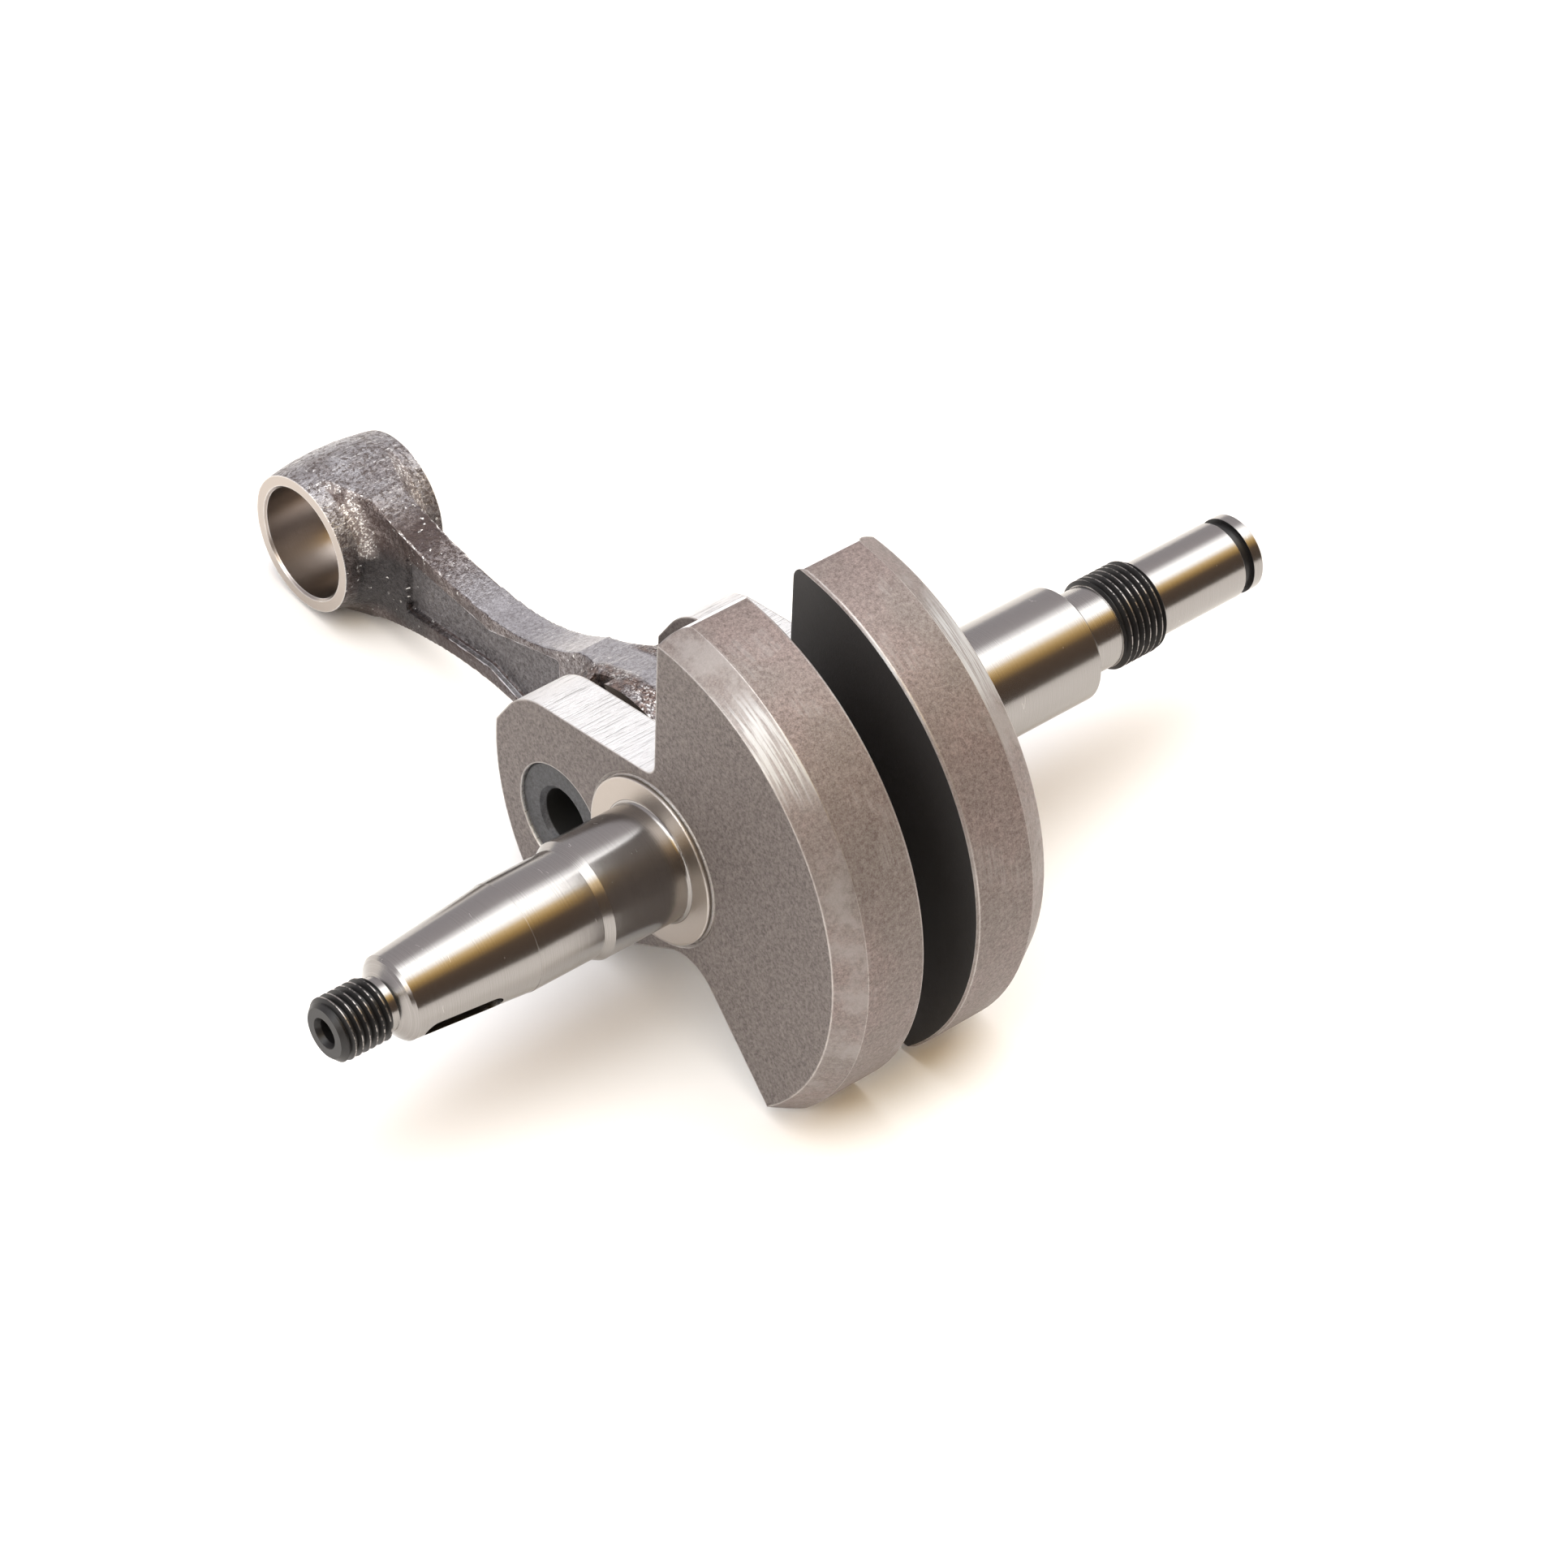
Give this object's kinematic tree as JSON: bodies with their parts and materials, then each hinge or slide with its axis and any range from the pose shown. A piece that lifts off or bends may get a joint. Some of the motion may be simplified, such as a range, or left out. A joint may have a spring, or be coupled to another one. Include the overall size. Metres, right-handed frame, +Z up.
{
  "type": "crankshaft",
  "caption": "Built-up two-stroke crankshaft with counterweighted webs, tapered keyed flywheel end, threaded clutch end and a needle-bearing connecting rod.",
  "frame": {"origin": "on the crank axis, at the middle of the flywheel side's main journal", "axes": "+X along the crank axis from the flywheel end to the clutch end, +Z up as the crank lies on a bench on its counterweights, pin lobes and small end, +Y towards the side that the connecting rod lies on"},
  "size_m": [0.141, 0.1222, 0.0572],
  "materials": {
    "forged_web_steel": "blasted forging with ground journals",
    "blackened_pin_steel": "dark hardened satin",
    "forged_rod_steel": "scaled forging",
    "cage_steel": "satin",
    "needle_steel": "polished"
  },
  "bodies": {
    "crank": {"flywheel_crank_half": "forged_web_steel", "clutch_crank_half": "forged_web_steel", "crankpin": "blackened_pin_steel"},
    "rod": {"connecting_rod": "forged_rod_steel"},
    "cage": {"big_end_cage": "cage_steel"},
    "needle_01": {"big_end_needle_01": "needle_steel"},
    "needle_02": {"big_end_needle_02": "needle_steel"},
    "needle_03": {"big_end_needle_03": "needle_steel"},
    "needle_04": {"big_end_needle_04": "needle_steel"},
    "needle_05": {"big_end_needle_05": "needle_steel"},
    "needle_06": {"big_end_needle_06": "needle_steel"},
    "needle_07": {"big_end_needle_07": "needle_steel"},
    "needle_08": {"big_end_needle_08": "needle_steel"},
    "needle_09": {"big_end_needle_09": "needle_steel"},
    "needle_10": {"big_end_needle_10": "needle_steel"},
    "needle_11": {"big_end_needle_11": "needle_steel"},
    "needle_12": {"big_end_needle_12": "needle_steel"},
    "needle_13": {"big_end_needle_13": "needle_steel"},
    "needle_14": {"big_end_needle_14": "needle_steel"},
    "needle_15": {"big_end_needle_15": "needle_steel"}
  },
  "joints": [
    {"name": "rod_swing", "type": "hinge", "parent": "crank", "child": "rod", "pos_m": [0.0222, 0.01654, -0.00709], "axis": [1, 0, 0], "continuous": true},
    {"name": "cage_turn", "type": "hinge", "parent": "crank", "child": "cage", "pos_m": [0.0222, 0.01654, -0.00709], "axis": [1, 0, 0], "continuous": true},
    {"name": "needle_01_spin", "type": "hinge", "parent": "cage", "child": "needle_01", "pos_m": [0.0222, 0.02525, -0.00798], "axis": [1, 0, 0], "continuous": true},
    {"name": "needle_02_spin", "type": "hinge", "parent": "cage", "child": "needle_02", "pos_m": [0.0222, 0.02486, -0.00436], "axis": [1, 0, 0], "continuous": true},
    {"name": "needle_03_spin", "type": "hinge", "parent": "cage", "child": "needle_03", "pos_m": [0.0222, 0.02303, -0.00121], "axis": [1, 0, 0], "continuous": true},
    {"name": "needle_04_spin", "type": "hinge", "parent": "cage", "child": "needle_04", "pos_m": [0.0222, 0.02008, 0.00091], "axis": [1, 0, 0], "continuous": true},
    {"name": "needle_05_spin", "type": "hinge", "parent": "cage", "child": "needle_05", "pos_m": [0.0222, 0.01651, 0.00166], "axis": [1, 0, 0], "continuous": true},
    {"name": "needle_06_spin", "type": "hinge", "parent": "cage", "child": "needle_06", "pos_m": [0.0222, 0.01296, 0.00089], "axis": [1, 0, 0], "continuous": true},
    {"name": "needle_07_spin", "type": "hinge", "parent": "cage", "child": "needle_07", "pos_m": [0.0222, 0.01002, -0.00126], "axis": [1, 0, 0], "continuous": true},
    {"name": "needle_08_spin", "type": "hinge", "parent": "cage", "child": "needle_08", "pos_m": [0.0222, 0.00821, -0.00442], "axis": [1, 0, 0], "continuous": true},
    {"name": "needle_09_spin", "type": "hinge", "parent": "cage", "child": "needle_09", "pos_m": [0.0222, 0.00785, -0.00804], "axis": [1, 0, 0], "continuous": true},
    {"name": "needle_10_spin", "type": "hinge", "parent": "cage", "child": "needle_10", "pos_m": [0.0222, 0.00898, -0.01149], "axis": [1, 0, 0], "continuous": true},
    {"name": "needle_11_spin", "type": "hinge", "parent": "cage", "child": "needle_11", "pos_m": [0.0222, 0.01143, -0.01419], "axis": [1, 0, 0], "continuous": true},
    {"name": "needle_12_spin", "type": "hinge", "parent": "cage", "child": "needle_12", "pos_m": [0.0222, 0.01476, -0.01566], "axis": [1, 0, 0], "continuous": true},
    {"name": "needle_13_spin", "type": "hinge", "parent": "cage", "child": "needle_13", "pos_m": [0.0222, 0.01839, -0.01564], "axis": [1, 0, 0], "continuous": true},
    {"name": "needle_14_spin", "type": "hinge", "parent": "cage", "child": "needle_14", "pos_m": [0.0222, 0.02171, -0.01415], "axis": [1, 0, 0], "continuous": true},
    {"name": "needle_15_spin", "type": "hinge", "parent": "cage", "child": "needle_15", "pos_m": [0.0222, 0.02414, -0.01144], "axis": [1, 0, 0], "continuous": true}
  ],
  "couplings": [
    {"joint": "cage_turn", "follows": "rod_swing", "ratio": 0.5714},
    {"joint": "needle_01_spin", "follows": "rod_swing", "ratio": 3.4286},
    {"joint": "needle_02_spin", "follows": "rod_swing", "ratio": 3.4286},
    {"joint": "needle_03_spin", "follows": "rod_swing", "ratio": 3.4286},
    {"joint": "needle_04_spin", "follows": "rod_swing", "ratio": 3.4286},
    {"joint": "needle_05_spin", "follows": "rod_swing", "ratio": 3.4286},
    {"joint": "needle_06_spin", "follows": "rod_swing", "ratio": 3.4286},
    {"joint": "needle_07_spin", "follows": "rod_swing", "ratio": 3.4286},
    {"joint": "needle_08_spin", "follows": "rod_swing", "ratio": 3.4286},
    {"joint": "needle_09_spin", "follows": "rod_swing", "ratio": 3.4286},
    {"joint": "needle_10_spin", "follows": "rod_swing", "ratio": 3.4286},
    {"joint": "needle_11_spin", "follows": "rod_swing", "ratio": 3.4286},
    {"joint": "needle_12_spin", "follows": "rod_swing", "ratio": 3.4286},
    {"joint": "needle_13_spin", "follows": "rod_swing", "ratio": 3.4286},
    {"joint": "needle_14_spin", "follows": "rod_swing", "ratio": 3.4286},
    {"joint": "needle_15_spin", "follows": "rod_swing", "ratio": 3.4286}
  ]
}
